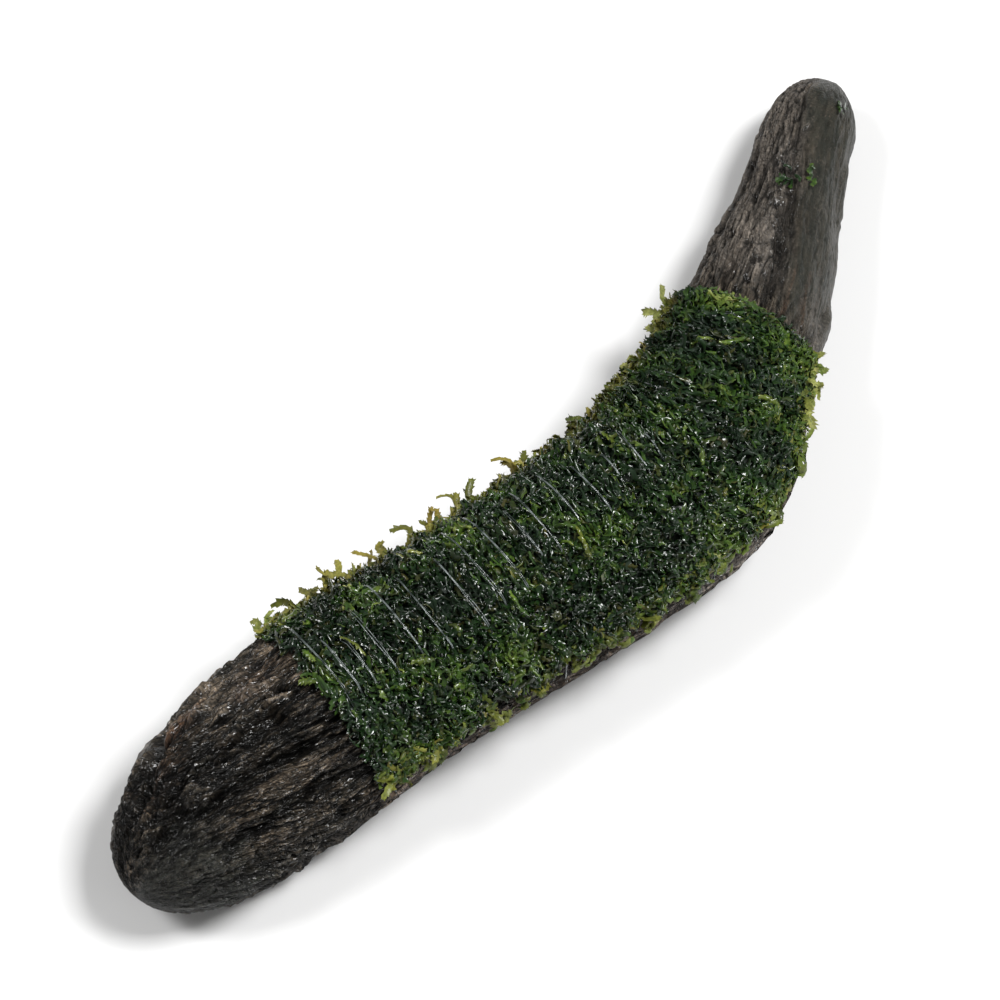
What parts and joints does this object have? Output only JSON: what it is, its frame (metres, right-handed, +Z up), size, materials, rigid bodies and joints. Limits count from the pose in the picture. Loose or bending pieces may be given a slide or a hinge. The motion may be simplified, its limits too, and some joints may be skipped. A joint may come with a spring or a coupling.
{
  "type": "aquarium moss on driftwood",
  "caption": "Bent tapering stick of dark driftwood, bare at both ends, with a mat of aquarium moss over its upper side held by windings of fine clear thread.",
  "frame": {"origin": "on the table, under the middle of the object's bounding box", "axes": "+X along the stick from its thick end to its thin tip, +Y to the inside of its bend, +Z up"},
  "size_m": [0.1624, 0.0493, 0.0258],
  "materials": {
    "driftwood": "waterlogged near-black wood, wet, with open grooves along the grain",
    "moss": "wet dark green moss with lighter green and ochre tips",
    "nylon": "clear glossy nylon thread"
  },
  "bodies": {
    "root": {"driftwood": "driftwood", "moss_mat": "moss", "binding_thread": "nylon", "moss_scrap_1": "moss", "moss_scrap_2": "moss", "moss_scrap_3": "moss"}
  },
  "joints": []
}
